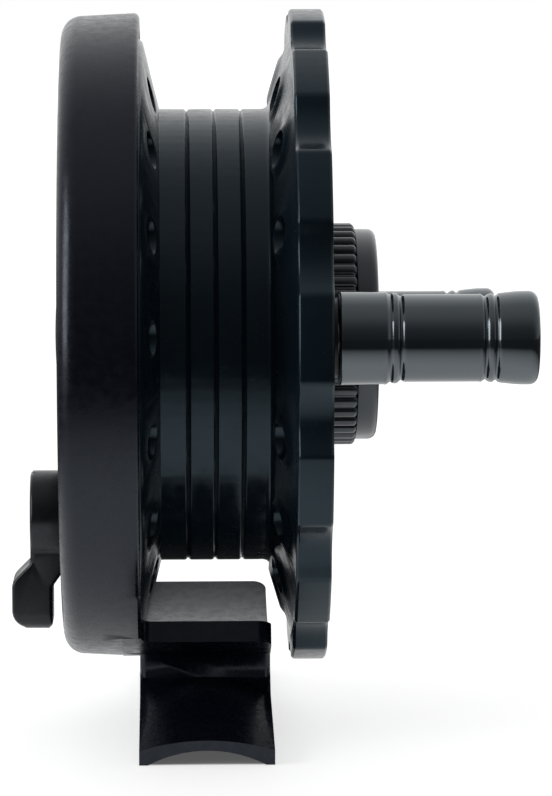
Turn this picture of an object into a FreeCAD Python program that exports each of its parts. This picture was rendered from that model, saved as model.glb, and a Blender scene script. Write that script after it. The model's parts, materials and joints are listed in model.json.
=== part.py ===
import FreeCAD, Part
import math
import os

from FreeCAD import Vector

# Drum fishing reel. X is the spool axis, with the handles at +X. Z is up, -Y is the front.
# Lengths in millimetres, angles in degrees. Z = 0 is the plane under the foot's two lands.

# Foot, stem and guard
foot_drop = 7.5
foot_length = 66.0
foot_width = 15.9
foot_land = 1.0
saddle_radius = 15.0
tip_side_height = 1.7
tip_crown = 1.2
stem_length = 20.0
stem_side_height = 4.8
stem_crown = 1.7
stem_fillet = 1.6
stem_edge = 0.7
guard_half_angle = 26.0
guard_wall = 2.6
guard_corner = 1.7
guard_root = 1.3

# Cup of the frame
cup_depth = 9.45
cup_wall = 2.3
cup_floor = 2.2
cup_draft = 2.8
cup_corner = 2.5
cup_inner_bevel = 1.2
rim_edge = 0.4
rim_setback = 0.4
rib_count = 8
rib_height = 1.2
rib_thickness = 1.4
frame_hub_diameter = 17.0
frame_hub_height = 2.45
cap_diameter = 21.3
cap_seat_depth = 1.0
cap_dome = 1.05
cap_edge = 0.25
cap_wall = 0.8
nut_pocket_depth = 1.75
nut_pocket_gap = 0.4

# Drum, flanges and scalloped disc
spool_offset = 1.3
drum_diameter = 55.5
drum_width = 13.2
drum_wall = 2.0
band_count = 4
groove_width = 0.6
groove_depth = 0.3
flange_diameter = 72.8
flange_wall = 1.5
flange_edge = 0.5
inner_flange_rise = 2.0
outer_flange_rise = 2.6
disc_overhang = 0.5
disc_thickness = 4.2
disc_chamfer = 0.3
disc_rim_wall = 3.4
dish_wall = 2.0
handle_turn = 4.3
scallops_a_side = 7
first_scallop = 13.6
scallop_width = 8.4
scallop_depth = 1.7
scallop_shoulder = 1.5
hole_count = 16
hole_inset = 5.1
hole_diameter = 4.4
hole_lip_diameter = 7.0
hole_lip_top = 4.9
hole_lip_height = 0.35
web_rib_count = 8
web_rib_thickness = 1.5
web_rib_drop = 1.5
seam_turn = 3.0

# Hub of the spool and its bushes
hub_diameter = 18.0
hub_boss_diameter = 28.4
hub_boss_drop = 0.3
bush_diameter = 9.0
bush_length = 6.0
bush_flange_diameter = 12.0
bush_flange_thickness = 0.5
hub_relief = 0.4

# Spindle and its fastening
spindle_diameter = 6.0
spindle_flange_diameter = 11.0
spindle_flange_thickness = 0.75
stub_diameter = 4.0
spindle_nut_flats = 7.0
spindle_nut_thickness = 1.8
spindle_washer_diameter = 8.2
spindle_washer_thickness = 0.4
thread_diameter = 5.0
thread_length = 4.7
key_flat_depth = 0.6

# Drag parts on the outer side
brake_recess_diameter = 21.0
brake_recess_depth = 2.0
drag_washer_thickness = 0.9
plate_thickness = 0.7
spring_height = 1.6
spring_thickness = 0.45
spring_outer_diameter = 18.0
spring_inner_diameter = 8.0
knob_diameter = 27.3
knob_thickness = 3.6
knob_roof = 2.65
knob_ridges = 48
ridge_depth = 0.55
ridge_share = 0.56
knob_chamfer = 0.4
knob_cap_diameter = 25.9
knob_cap_height = 3.0
knob_cap_dome = 0.5
knob_cap_edge = 1.0
knob_cap_wall = 1.2
insert_diameter = 8.4
insert_flange_diameter = 11.0
insert_flange_thickness = 0.8

# Handles and their shoulder screws
handle_inset = 7.0
handle_length = 23.1
handle_base_diameter = 10.8
handle_waist_diameter = 10.15
handle_end_diameter = 10.85
handle_base_length = 5.3
handle_end_length = 4.35
handle_groove_gap = 1.23
handle_groove_width = 0.6
handle_groove_depth = 0.3
handle_edge = 0.9
handle_base_bevel = 0.3
handle_screw_diameter = 3.5
handle_screw_head_diameter = 6.0
handle_screw_head_height = 1.6
handle_screw_recess = 0.5
handle_screw_seat = 3.0
handle_washer_diameter = 9.2
handle_washer_thickness = 0.5
handle_boss_diameter = 12.4

# Click lever, pawl and ratchet ring
lever_drop = 22.35
lever_hub_diameter = 11.1
lever_hub_thickness = 4.1
lever_arm_width = 7.6
lever_reach = 13.8
lever_tab_offset = 2.3
lever_tab_thickness = 5.0
lever_shaft_diameter = 5.0
lever_boss_diameter = 9.2
lever_swing = 35.0
pawl_square = 3.2
pawl_thickness = 2.2
pawl_hub_diameter = 8.0
pawl_arm_width = 2.4
pawl_tooth_angle = 54.0
pawl_tip_width = 0.24
pawl_screw_head_diameter = 4.0
pawl_screw_head_height = 1.0
pawl_screw_diameter = 1.8
ratchet_diameter = 31.2
ratchet_tooth_count = 60
ratchet_tooth_depth = 1.1
ratchet_tip_width = 0.3
ratchet_root_width = 0.2
ratchet_thickness = 2.2
ratchet_bore = 15.0
ratchet_engagement = 0.75
detent_length = 12.0
detent_thickness = 0.35
detent_width = 1.6
detent_eye_diameter = 5.2
detent_post_diameter = 4.6
detent_screw_diameter = 2.0
detent_screw_head_diameter = 4.0
detent_screw_head_height = 1.0

# Clearances
running_clearance = 0.06
side_clearance = 0.15
rim_clearance = 0.8

# Places along the spool axis
drum_left = spool_offset - drum_width / 2
drum_right = spool_offset + drum_width / 2
flange_left = drum_left - inner_flange_rise
disc_left = drum_right + outer_flange_rise
disc_right = disc_left + disc_thickness
cup_rim = flange_left - rim_setback
cup_back = cup_rim - cup_depth
cup_inside = cup_back + cup_floor
frame_hub_end = cup_inside + frame_hub_height
cap_seat = cup_back + cap_seat_depth
nut_seat = cap_seat + nut_pocket_depth
hub_left = frame_hub_end + spindle_flange_thickness + side_clearance + bush_flange_thickness
hub_shoulder = hub_left + ratchet_thickness
hub_face = disc_right - hub_boss_drop
brake_seat = hub_face - brake_recess_depth
plate_seat = brake_seat + drag_washer_thickness + side_clearance
spring_seat = plate_seat + plate_thickness
knob_roof_left = spring_seat + spring_height + side_clearance
knob_right = knob_roof_left + knob_roof
knob_left = knob_right - knob_thickness
thread_end = spring_seat + thread_length
handle_left = disc_right + handle_washer_thickness + side_clearance
handle_right = handle_left + handle_length

# Radii that several pieces share
drum_radius = drum_diameter / 2
flange_radius = flange_diameter / 2
cup_inner_radius = flange_radius + rim_clearance
cup_outer_radius = cup_inner_radius + cup_wall
disc_radius = cup_outer_radius + disc_overhang
axis_height = disc_radius + foot_drop
cap_radius = cap_diameter / 2
spindle_radius = spindle_diameter / 2
handle_radius = disc_radius - handle_inset
hole_radius = flange_radius - hole_inset
hole_share = (hole_radius - drum_radius) / (flange_radius - drum_radius)
hole_left = drum_left - inner_flange_rise * hole_share
hole_right = drum_right + outer_flange_rise * hole_share
ratchet_tip_radius = ratchet_diameter / 2
ratchet_root_radius = ratchet_tip_radius - ratchet_tooth_depth

# Pawl: the arm's end lies just outside the teeth when the lever is on
pawl_end_radius = ratchet_tip_radius + 2 * side_clearance + pawl_arm_width / 2
pawl_arm_length = math.sqrt(lever_drop ** 2 - pawl_end_radius ** 2)
pawl_gap_angle = math.degrees(math.acos(pawl_end_radius / lever_drop))
pawl_left = cup_inside + frame_hub_height + spindle_flange_thickness + 2 * side_clearance
pawl_right = pawl_left + pawl_thickness

origin = Vector(0, 0, 0)
along_x = Vector(1, 0, 0)


# Point at a radius from the spool axis, at an angle above the front
def around(radius, angle, x=0.0):
    turn = math.radians(angle)
    return Vector(x, -radius * math.cos(turn), radius * math.sin(turn))


# Closed face through flat corners (a, b) or (a, b, rounding), set in space by place(a, b)
def outline(corners, place):
    points = [FreeCAD.Vector(c[0], c[1], 0) for c in corners]
    count = len(points)
    joints = []
    for i in range(count):
        here = points[i]
        rounding = corners[i][2] if len(corners[i]) > 2 else 0
        if not rounding:
            joints.append((here, None, here))
            continue
        back = (points[i - 1] - here).normalize()
        ahead = (points[(i + 1) % count] - here).normalize()
        half = back.getAngle(ahead) / 2
        reach = rounding / math.tan(half)
        middle = (back + ahead).normalize() * (rounding / math.sin(half) - rounding)
        joints.append((here + back * reach, here + middle, here + ahead * reach))
    edges = []
    for i in range(count):
        start = joints[i - 1][2]
        first, middle, last = joints[i]
        if start.distanceToPoint(first) > 1e-6:
            edges.append(Part.LineSegment(place(start), place(first)).toShape())
        if middle is not None:
            edges.append(Part.Arc(place(first), place(middle), place(last)).toShape())
    return Part.Face(Part.Wire(edges))


# Solid of revolution about the spool axis, from corners (x, radius)
def turned(corners):
    face = outline(corners, lambda p: Vector(p.x, 0, p.y))
    return face.revolve(origin, along_x, 360)


# Flat outline in Y and Z, made thick along X
def plate(corners, left, right):
    face = outline(corners, lambda p: Vector(left, p.x, p.y))
    return face.extrude(Vector(right - left, 0, 0))


def rod(radius, left, right, centre=origin):
    start = Vector(left, centre.y, centre.z)
    return Part.makeCylinder(radius, right - left, start, along_x)


def tube(outer, inner, left, right, centre=origin):
    return rod(outer, left, right, centre).cut(rod(inner, left, right, centre))


def turned_by(shape, angle):
    copy = shape.copy()
    copy.rotate(origin, along_x, -angle)
    return copy


def hexagon(flats, left, right):
    corner = flats / math.sqrt(3)
    corners = []
    for i in range(6):
        turn = math.radians(60 * i)
        corners.append((corner * math.cos(turn), corner * math.sin(turn)))
    return plate(corners, left, right)


# Cross-section of the foot at a distance y: lands and saddle below, a crown above
def foot_section(y, side_height, crown):
    half = foot_width / 2
    land = half - foot_land
    arch = saddle_radius - math.sqrt(saddle_radius ** 2 - land ** 2)
    low = -axis_height

    def at(x, height):
        return Vector(x, y, low + height)

    edges = [
        Part.LineSegment(at(-half, 0), at(-land, 0)).toShape(),
        Part.Arc(at(-land, 0), at(0, arch), at(land, 0)).toShape(),
        Part.LineSegment(at(land, 0), at(half, 0)).toShape(),
        Part.LineSegment(at(half, 0), at(half, side_height)).toShape(),
        Part.Arc(at(half, side_height), at(0, side_height + crown), at(-half, side_height)).toShape(),
        Part.LineSegment(at(-half, side_height), at(-half, 0)).toShape(),
    ]
    return Part.Wire(edges)


def foot():
    middle = stem_length / 2
    tip = foot_length / 2
    body = Part.Face(foot_section(-middle, stem_side_height, stem_crown))
    shape = body.extrude(Vector(0, stem_length, 0))
    for side in (-1, 1):
        inner = foot_section(side * middle, stem_side_height, stem_crown)
        outer = foot_section(side * tip, tip_side_height, tip_crown)
        shape = shape.fuse(Part.makeLoft([inner, outer], True, True))
    return shape.removeSplitter()


# Block from the foot up to the cup, hollowed above by the guard's own curve
def stem():
    half = stem_length / 2
    spread = half + stem_fillet
    low = -axis_height + stem_side_height - stem_crown
    top = -cup_inner_radius * math.cos(math.radians(guard_half_angle))
    flare = low + stem_crown + stem_fillet
    corners = [(-spread, low), (spread, low), (spread, low + stem_crown), (half, flare), (half, top)]
    corners += [(-half, top), (-half, flare), (-spread, low + stem_crown)]
    block = plate(corners, -foot_width / 2, foot_width / 2)
    corner_edges = []
    for edge in block.Edges:
        ends = [v.Point for v in edge.Vertexes]
        if abs(ends[0].x - ends[1].x) < 1e-6 and min(ends[0].z, ends[1].z) > flare - 1e-6:
            if abs(ends[0].y - ends[1].y) < 1e-6:
                corner_edges.append(edge)
    block = block.makeFillet(stem_edge, corner_edges)
    bore = rod((cup_inner_radius + cup_outer_radius) / 2, -foot_width, foot_width)
    return block.cut(bore)


# Part of a ring below the spool axis, from one angle off the vertical to the same on the other side
def ring_segment(left, right, half_angle):
    inner = cup_outer_radius - guard_wall
    corners = [(left, inner), (right, inner), (right, cup_outer_radius), (left, cup_outer_radius)]
    face = outline(corners, lambda p: Vector(p.x, 0, -p.y))
    face.rotate(origin, along_x, -half_angle)
    return face.revolve(origin, along_x, 2 * half_angle)


# Curved guard under the drum, which flows from the cup's rim in two hollow curves
def guard():
    left = cup_rim - cup_wall
    right = foot_width / 2
    inner = cup_outer_radius - guard_wall
    segment = ring_segment(left, right, guard_half_angle)
    corner_edges = []
    for edge in segment.Edges:
        ends = [v.Point for v in edge.Vertexes]
        if len(ends) == 2 and all(abs(p.x - right) < 1e-6 for p in ends):
            if abs(edge.Length - guard_wall) < 1e-6:
                corner_edges.append(edge)
    segment = segment.makeFillet(guard_corner, corner_edges)
    root = ring_segment(left, cup_rim + guard_root, guard_half_angle + math.degrees(guard_root / inner))
    hollows = []
    for side in (-1, 1):
        end_turn = side * guard_half_angle - 90
        start = around(inner - 1, end_turn, cup_rim + guard_root) + around(guard_root, end_turn + side * 90)
        hollows.append(Part.makeCylinder(guard_root, guard_wall + 2, start, around(1, end_turn)))
    return segment.fuse(root.cut(hollows))


def cup():
    fall = math.tan(math.radians(cup_draft)) * cup_depth
    back_radius = cup_outer_radius - fall
    shell = turned([
        (cup_back, 0),
        (cup_back, back_radius, cup_corner),
        (cup_rim - rim_edge, cup_outer_radius),
        (cup_rim, cup_outer_radius - rim_edge),
        (cup_rim, cup_inner_radius),
        (cup_inside + cup_inner_bevel, cup_inner_radius),
        (cup_inside, cup_inner_radius - cup_inner_bevel),
        (cup_inside, 0),
    ])
    parts = [rod(frame_hub_diameter / 2, cup_back + cup_floor / 2, frame_hub_end)]
    shaft = Vector(0, 0, -lever_drop)
    parts.append(rod(lever_boss_diameter / 2, cup_back + cup_floor / 2, pawl_left - side_clearance, shaft))
    parts.append(rod(detent_post_diameter / 2, cup_back + cup_floor / 2, detent_left(), detent_eye()))
    reach = back_radius - cup_wall
    for i in range(rib_count):
        rib = Part.makeBox(rib_height + cup_floor / 2, rib_thickness, reach)
        rib.translate(Vector(cup_back + cup_floor / 2, -rib_thickness / 2, 0))
        parts.append(turned_by(rib, 360 * (i + 0.5) / rib_count))
    return shell.fuse(parts)


def detent_left():
    return pawl_left + (pawl_thickness - detent_width) / 2


def detent_strip_z():
    return -lever_drop - pawl_hub_diameter / 2 - side_clearance - detent_thickness


def detent_eye():
    low = detent_strip_z() + detent_eye_diameter / 2
    return Vector(0, -detent_length + detent_eye_diameter / 2, low)


# One moulding: cup, guard, stem and foot
def frame():
    shape = cup().fuse([guard(), stem(), foot()])
    shaft = Vector(0, 0, -lever_drop)
    cuts = [
        rod(cap_radius, cup_back - 1, cap_seat),
        rod(spindle_washer_diameter / 2 + nut_pocket_gap, cup_back - 1, nut_seat),
        rod(stub_diameter / 2, cup_back - 1, frame_hub_end + 1),
        rod(lever_shaft_diameter / 2 + running_clearance, cup_back - 1, pawl_left, shaft),
        rod(detent_screw_diameter / 2, cup_inside, detent_left() + 1, detent_eye()),
    ]
    return shape.cut(cuts).removeSplitter()


# Round cap with a low dome and one ring step, hollow over the nut
def hub_cap():
    proud = cup_back - cap_dome
    shoulder = cup_back - cap_edge
    step = cap_radius * 0.84
    cap = turned([
        (cap_seat, 0),
        (cap_seat, cap_radius),
        (shoulder, cap_radius),
        (shoulder, step),
        (proud, step - cap_dome),
        (proud, 0),
    ])
    hollow = rod(spindle_washer_diameter / 2 + nut_pocket_gap, proud + cap_wall, cap_seat + 1)
    return cap.cut(hollow)


def spindle():
    shape = turned([
        (nut_seat - spindle_washer_thickness - spindle_nut_thickness, 0),
        (nut_seat - spindle_washer_thickness - spindle_nut_thickness, stub_diameter / 2),
        (frame_hub_end, stub_diameter / 2),
        (frame_hub_end, spindle_flange_diameter / 2),
        (frame_hub_end + spindle_flange_thickness, spindle_flange_diameter / 2),
        (frame_hub_end + spindle_flange_thickness, spindle_radius),
        (spring_seat, spindle_radius),
        (spring_seat, thread_diameter / 2),
        (thread_end - key_flat_depth, thread_diameter / 2),
        (thread_end, thread_diameter / 2 - key_flat_depth),
        (thread_end, 0),
    ])
    return shape.cut(key_flats())


# Two flats on the spindle that keep the pressure plate from turning
def key_flats():
    flats = []
    for side in (-1, 1):
        flat = Part.makeBox(spring_seat - plate_seat, spindle_diameter, key_flat_depth)
        low = spindle_radius - key_flat_depth if side > 0 else -spindle_radius
        flat.translate(Vector(plate_seat, -spindle_radius, low))
        flats.append(flat)
    return flats


def spindle_washer():
    left = nut_seat - spindle_washer_thickness
    return tube(spindle_washer_diameter / 2, stub_diameter / 2, left, nut_seat)


def spindle_nut():
    right = nut_seat - spindle_washer_thickness
    left = right - spindle_nut_thickness
    return hexagon(spindle_nut_flats, left, right).cut(rod(stub_diameter / 2, left, right))


# Right-hand profile of the drum: bands with a V groove between each two
def drum_corners():
    pitch = drum_width / band_count
    corners = [(drum_left, drum_radius)]
    for i in range(1, band_count):
        x = drum_left + i * pitch
        corners.append((x - groove_width / 2, drum_radius))
        corners.append((x, drum_radius - groove_depth))
        corners.append((x + groove_width / 2, drum_radius))
    corners.append((drum_right, drum_radius))
    return corners


# Shell of the spool: hub, drum wall, two conical flanges, web and the disc's rim
def spool_shell():
    slope = outer_flange_rise / (flange_radius - drum_radius)
    shift = dish_wall * math.sqrt(1 + slope ** 2)
    hub = hub_diameter / 2
    web_left = drum_right + shift - dish_wall
    web_right = drum_right + shift
    rim_inner = disc_radius - disc_rim_wall
    dish_rim = web_right + slope * (rim_inner - drum_radius)
    corners = [
        (hub_left, bush_diameter / 2),
        (hub_left, ratchet_bore / 2),
        (hub_shoulder, ratchet_bore / 2),
        (hub_shoulder, hub),
        (web_left, hub),
        (web_left, drum_radius - drum_wall),
        (drum_left - flange_wall, drum_radius - drum_wall),
        (flange_left - flange_wall, flange_radius - flange_edge),
        (flange_left - flange_wall + flange_edge, flange_radius),
        (flange_left - flange_edge, flange_radius),
        (flange_left, flange_radius - flange_edge),
    ]
    corners += drum_corners()
    corners += [
        (disc_left, flange_radius),
        (disc_left, disc_radius),
        (disc_right, disc_radius),
        (disc_right, rim_inner),
        (dish_rim, rim_inner),
        (web_right, drum_radius),
        (web_right, hub_boss_diameter / 2),
        (hub_face, hub_boss_diameter / 2),
        (hub_face, brake_recess_diameter / 2),
        (brake_seat, brake_recess_diameter / 2),
        (brake_seat, bush_diameter / 2),
    ]
    return turned_by(turned(corners), seam_turn)


# Ribs on both sides of the web, round bosses under the handles
def spool_ribs():
    web = drum_right + dish_wall / 2
    parts = []
    start = hub_diameter / 4
    reach = drum_radius - drum_wall / 2
    boss_middle = (brake_recess_diameter + hub_boss_diameter) / 4
    disc_reach = disc_radius - disc_rim_wall / 2
    for i in range(web_rib_count):
        turn = 360 * i / web_rib_count
        back = Part.makeBox(web - spool_offset, web_rib_thickness, reach - start)
        back.translate(Vector(spool_offset, -web_rib_thickness / 2, start))
        parts.append(turned_by(back, turn))
        front = Part.makeBox(hub_face - web_rib_drop - web, web_rib_thickness, disc_reach - boss_middle)
        front.translate(Vector(web, -web_rib_thickness / 2, boss_middle))
        parts.append(turned_by(front, turn + 180 / web_rib_count))
    for side in (0, 180):
        parts.append(rod(handle_boss_diameter / 2, drum_right, disc_right, around(handle_radius, side)))
    return parts


# Space for the line, between the two flanges
def line_space():
    space = turned([
        (drum_left, drum_radius),
        (drum_right, drum_radius),
        (disc_left, flange_radius),
        (disc_left, disc_radius + 1),
        (drum_left, disc_radius + 1),
    ])
    return turned_by(space, seam_turn)


# The lobes' shoulders rounded, then the disc's two scalloped outer edges broken all round
def break_disc_edges(shape):
    shape = shape.makeFillet(scallop_shoulder, [edge for edge in shape.Edges if crosses_rim(edge)])
    least = disc_radius - scallop_depth - running_clearance
    rim = []
    for edge in shape.Edges:
        ends = [v.Point for v in edge.Vertexes]
        level = abs(ends[0].x - ends[-1].x) < 1e-6
        on_face = min(abs(ends[0].x - disc_left), abs(ends[0].x - disc_right)) < 1e-6
        if level and on_face and all(math.hypot(p.y, p.z) > least for p in ends):
            rim.append(edge)
    return shape.makeChamfer(disc_chamfer, rim)


# A straight edge on the disc's rim, from one face of the disc to the other
def crosses_rim(edge):
    ends = [v.Point for v in edge.Vertexes]
    if len(ends) != 2 or abs(abs(ends[0].x - ends[1].x) - disc_thickness) > 1e-6:
        return False
    return all(abs(math.hypot(p.y, p.z) - disc_radius) < 1e-6 for p in ends)


# Finger scallops round the disc, none where the handles stand
def scallops():
    step = (180 - 2 * first_scallop) / (scallops_a_side - 1)
    half = scallop_width / 2
    sag = scallop_depth - disc_radius + math.sqrt(disc_radius ** 2 - half ** 2)
    scallop_radius = (half ** 2 + sag ** 2) / (2 * sag)
    distance = disc_radius - scallop_depth + scallop_radius
    cuts = []
    for side in (0, 180):
        for i in range(scallops_a_side):
            centre = around(distance, side + first_scallop + i * step)
            cuts.append(rod(scallop_radius, disc_left - 1, disc_right + 1, centre))
    return cuts


# Line-drying holes: through both flanges, closed in the outer flange under the handles
def flange_holes():
    cuts = []
    for turn, under_handle in hole_places():
        centre = around(hole_radius, turn)
        cuts.append(rod(hole_diameter / 2, hole_left - 2 * flange_wall, hole_left + flange_wall, centre))
        if not under_handle:
            cuts.append(rod(hole_diameter / 2, hole_right - dish_wall, hole_right + 2 * dish_wall, centre))
    return cuts


def hole_places():
    return [(360 * i / hole_count, i % (hole_count // 2) == 0) for i in range(hole_count)]


# Low tapered lip round each hole of the outer flange, square to the flange's slope
def hole_lips():
    slant = math.degrees(math.atan(outer_flange_rise / (flange_radius - drum_radius)))
    taper = (hole_lip_diameter - hole_lip_top) / 2
    lips = []
    for turn, under_handle in hole_places():
        if under_handle:
            continue
        lip = Part.makeCone(
            hole_lip_top / 2, hole_lip_diameter / 2 + taper, 2 * hole_lip_height,
            Vector(-hole_lip_height, 0, 0), along_x)
        lip.rotate(origin, Vector(0, 1, 0), slant)
        lip.translate(Vector(hole_right, 0, hole_radius))
        lips.append(turned_by(lip, turn - 90))
    return lips


# Made with the handle line level, then turned to its rest
def spool():
    shape = break_disc_edges(spool_shell().cut(scallops()))
    ribs = [rib.cut(line_space()) for rib in spool_ribs()]
    shape = shape.fuse(ribs + hole_lips())
    cuts = flange_holes()
    for side in (0, 180):
        centre = around(handle_radius, side)
        cuts.append(rod(handle_screw_diameter / 2, disc_right - handle_screw_seat, disc_right + 1, centre))
    return turned_by(shape.cut(cuts).removeSplitter(), handle_turn)


def bush(left, right):
    return tube(bush_diameter / 2, spindle_radius + running_clearance, left, right)


# Inner bush with a thrust flange that runs beside the spindle's shoulder
def inner_bush():
    flange_left_face = hub_left - bush_flange_thickness
    flange = tube(bush_flange_diameter / 2, spindle_radius + running_clearance, flange_left_face, hub_left)
    return bush(hub_left, hub_left + bush_length).fuse(flange).removeSplitter()


# Toothed ring with straight-sided teeth, one gap facing the pawl
def ratchet_ring():
    corners = []
    pitch = 360 / ratchet_tooth_count
    tip = math.degrees(ratchet_tip_width / 2 / ratchet_tip_radius)
    root = math.degrees(ratchet_root_width / 2 / ratchet_root_radius)
    gap = -90 - pawl_gap_angle
    for i in range(ratchet_tooth_count):
        middle = gap + i * pitch
        for radius, turn in (
            (ratchet_root_radius, middle - root),
            (ratchet_root_radius, middle + root),
            (ratchet_tip_radius, middle + pitch / 2 - tip),
            (ratchet_tip_radius, middle + pitch / 2 + tip),
        ):
            point = around(radius, turn)
            corners.append((point.y, point.z))
    left = hub_shoulder - ratchet_thickness
    ring = plate(corners, left, hub_shoulder)
    return ring.cut(rod(ratchet_bore / 2, left, hub_shoulder))


def drag_washer():
    outer = brake_recess_diameter / 2 - running_clearance
    inner = spindle_radius + hub_relief
    return tube(outer, inner, brake_seat, brake_seat + drag_washer_thickness)


def pressure_plate():
    outer = brake_recess_diameter / 2 - 4 * side_clearance
    disc = rod(outer, plate_seat, spring_seat)
    core = rod(spindle_radius, plate_seat, spring_seat).cut(key_flats())
    return disc.cut(core)


def drag_spring():
    outer = spring_outer_diameter / 2
    inner = spring_inner_diameter / 2
    top = spring_seat + spring_height
    return turned([
        (spring_seat, outer),
        (spring_seat + spring_thickness, outer),
        (top, inner + spring_thickness),
        (top, inner),
        (top - spring_thickness, inner),
        (spring_seat, outer - spring_thickness),
    ])


# Knurled ring of the nut, with its chamfered outer edge
def drag_knob():
    tip = knob_diameter / 2
    root = tip - ridge_depth
    pitch = 360 / knob_ridges
    land = pitch * ridge_share / 2
    corners = []
    for i in range(knob_ridges):
        middle = (i + 0.5) * pitch
        for radius, turn in (
            (root, middle - pitch / 2),
            (tip, middle - land),
            (tip, middle + land),
        ):
            point = around(radius, turn)
            corners.append((point.y, point.z))
    body = plate(corners, knob_left, knob_right)
    limit = turned([
        (knob_left, 0),
        (knob_left, tip),
        (knob_right - knob_chamfer, tip),
        (knob_right, tip - knob_chamfer),
        (knob_right, 0),
    ])
    body = body.common(limit)
    hollow = rod(brake_recess_diameter / 2, knob_left, knob_roof_left)
    seat = rod(insert_diameter / 2, knob_left, knob_right)
    flange = rod(insert_flange_diameter / 2, knob_left, knob_roof_left + insert_flange_thickness)
    return body.cut([hollow, seat, flange])


def knob_insert():
    bore = thread_diameter / 2 + running_clearance
    flange_end = knob_roof_left + insert_flange_thickness
    shape = rod(insert_flange_diameter / 2, knob_roof_left, flange_end)
    shape = shape.fuse(rod(insert_diameter / 2, flange_end, knob_right))
    return shape.cut(rod(bore, knob_roof_left, knob_right)).removeSplitter()


def knob_cap():
    outer = knob_cap_diameter / 2
    right = knob_right + knob_cap_height
    cap = turned([
        (knob_right, 0),
        (knob_right, outer),
        (right - knob_cap_dome, outer, knob_cap_edge),
        (right, outer * 0.45, 10 * outer),
        (right, 0),
    ])
    roof = right - knob_cap_dome - knob_cap_wall
    hollow = turned([
        (knob_right, 0),
        (knob_right, outer - knob_cap_wall),
        (roof - knob_cap_edge / 2, outer - knob_cap_wall),
        (roof, outer - knob_cap_wall - knob_cap_edge / 2),
        (roof, 0),
    ])
    return cap.cut(hollow)


# V groove round the handle, between two radii
def handle_groove(x, before, after):
    half = handle_groove_width / 2
    return [(x - half, before), (x, (before + after) / 2 - handle_groove_depth), (x + half, after)]


# Handle knob: base, straight grip between two pairs of grooves, flared end
def handle(side):
    base = handle_base_diameter / 2
    waist = handle_waist_diameter / 2
    end = handle_end_diameter / 2
    first = handle_left + handle_base_length + handle_groove_gap / 2
    last = handle_right - handle_end_length - handle_groove_gap / 2
    base_bead = waist + (base - waist) / 3
    end_bead = waist + (end - waist) / 4
    corners = [(handle_left, 0), (handle_left, base - handle_base_bevel), (handle_left + handle_base_bevel, base)]
    corners += handle_groove(first, base, base_bead)
    corners += handle_groove(first + handle_groove_gap, base_bead, waist)
    corners += handle_groove(last - handle_groove_gap, waist, end_bead)
    corners += handle_groove(last, end_bead, 2 * end_bead - waist)
    corners.append((handle_right - handle_end_length / 2, end))
    corners += [(handle_right, end, handle_edge), (handle_right, 0)]
    knob = turned(corners)
    head_seat = handle_screw_head_left() - side_clearance
    bore = handle_screw_diameter / 2 + running_clearance
    recess = handle_screw_head_diameter / 2 + side_clearance
    knob = knob.cut([rod(bore, handle_left, handle_right), rod(recess, head_seat, handle_right)])
    knob.translate(around(handle_radius, handle_turn + side))
    return knob


def handle_screw_head_left():
    return handle_right - handle_screw_recess - handle_screw_head_height


# Shoulder screw that holds a handle, with a cross slot in its head
def handle_screw(side):
    left = handle_screw_head_left()
    right = left + handle_screw_head_height
    shape = rod(handle_screw_diameter / 2, disc_right - handle_screw_seat, left)
    head = turned([
        (left, 0),
        (left, handle_screw_head_diameter / 2),
        (right - handle_screw_head_height / 2, handle_screw_head_diameter / 2),
        (right, handle_screw_head_diameter / 3),
        (right, 0),
    ])
    shape = shape.fuse(head)
    slot = handle_screw_head_diameter / 8
    span = handle_screw_head_diameter / 4
    depth = handle_screw_head_height / 2
    cross = Part.makeBox(depth, 2 * span, slot, Vector(right - depth, -span, -slot / 2))
    other = Part.makeBox(depth, slot, 2 * span, Vector(right - depth, -slot / 2, -span))
    shape = shape.cut([cross, other]).removeSplitter()
    shape.translate(around(handle_radius, handle_turn + side))
    return shape


def handle_washer(side):
    centre = around(handle_radius, handle_turn + side)
    outer = handle_washer_diameter / 2
    right = disc_right + handle_washer_thickness
    return tube(outer, handle_screw_diameter / 2, disc_right, right, centre)


# Bent lever outside the back: its side shape and its face shape, crossed, plus the shaft
def click_lever():
    right = cup_back - side_clearance
    left = right - lever_hub_thickness
    hub = lever_hub_diameter / 2
    tab_left = left - lever_tab_offset
    tab_right = tab_left + lever_tab_thickness
    low = -lever_drop - lever_reach
    hub_low = -lever_drop - hub
    side_shape = outline([
        (right, -lever_drop + hub),
        (left, -lever_drop + hub, 0.6),
        (left, hub_low, 1.2),
        (tab_left, hub_low - lever_tab_offset, 1.8),
        (tab_left, low, 2.4),
        (tab_right, low, 0.8),
        (tab_right, hub_low - lever_tab_offset - 0.6, 0.8),
        (right, hub_low - 0.9, 0.4),
    ], lambda p: Vector(p.x, -hub, p.y))
    side_solid = side_shape.extrude(Vector(0, 2 * hub, 0))
    half = lever_arm_width / 2
    arm = plate([(-half, low, half / 2), (half, low, half / 2), (half, -lever_drop), (-half, -lever_drop)],
                tab_left, right)
    face_solid = rod(hub, tab_left, right, Vector(0, 0, -lever_drop)).fuse(arm)
    body = side_solid.common(face_solid)
    shaft = Vector(0, 0, -lever_drop)
    body = body.fuse(rod(lever_shaft_diameter / 2, right - lever_hub_thickness / 2, pawl_left, shaft))
    body = body.fuse(pawl_drive())
    return body.cut(pawl_screw_hole()).removeSplitter()


def pawl_drive():
    half = pawl_square / 2
    start = Vector(pawl_left - lever_hub_thickness / 2, -half, -lever_drop - half)
    return Part.makeBox(pawl_right - start.x, pawl_square, pawl_square, start)


def pawl_screw_hole():
    centre = Vector(0, 0, -lever_drop)
    return rod(pawl_screw_diameter / 2, pawl_left - lever_hub_thickness / 2, pawl_right, centre)


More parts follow.
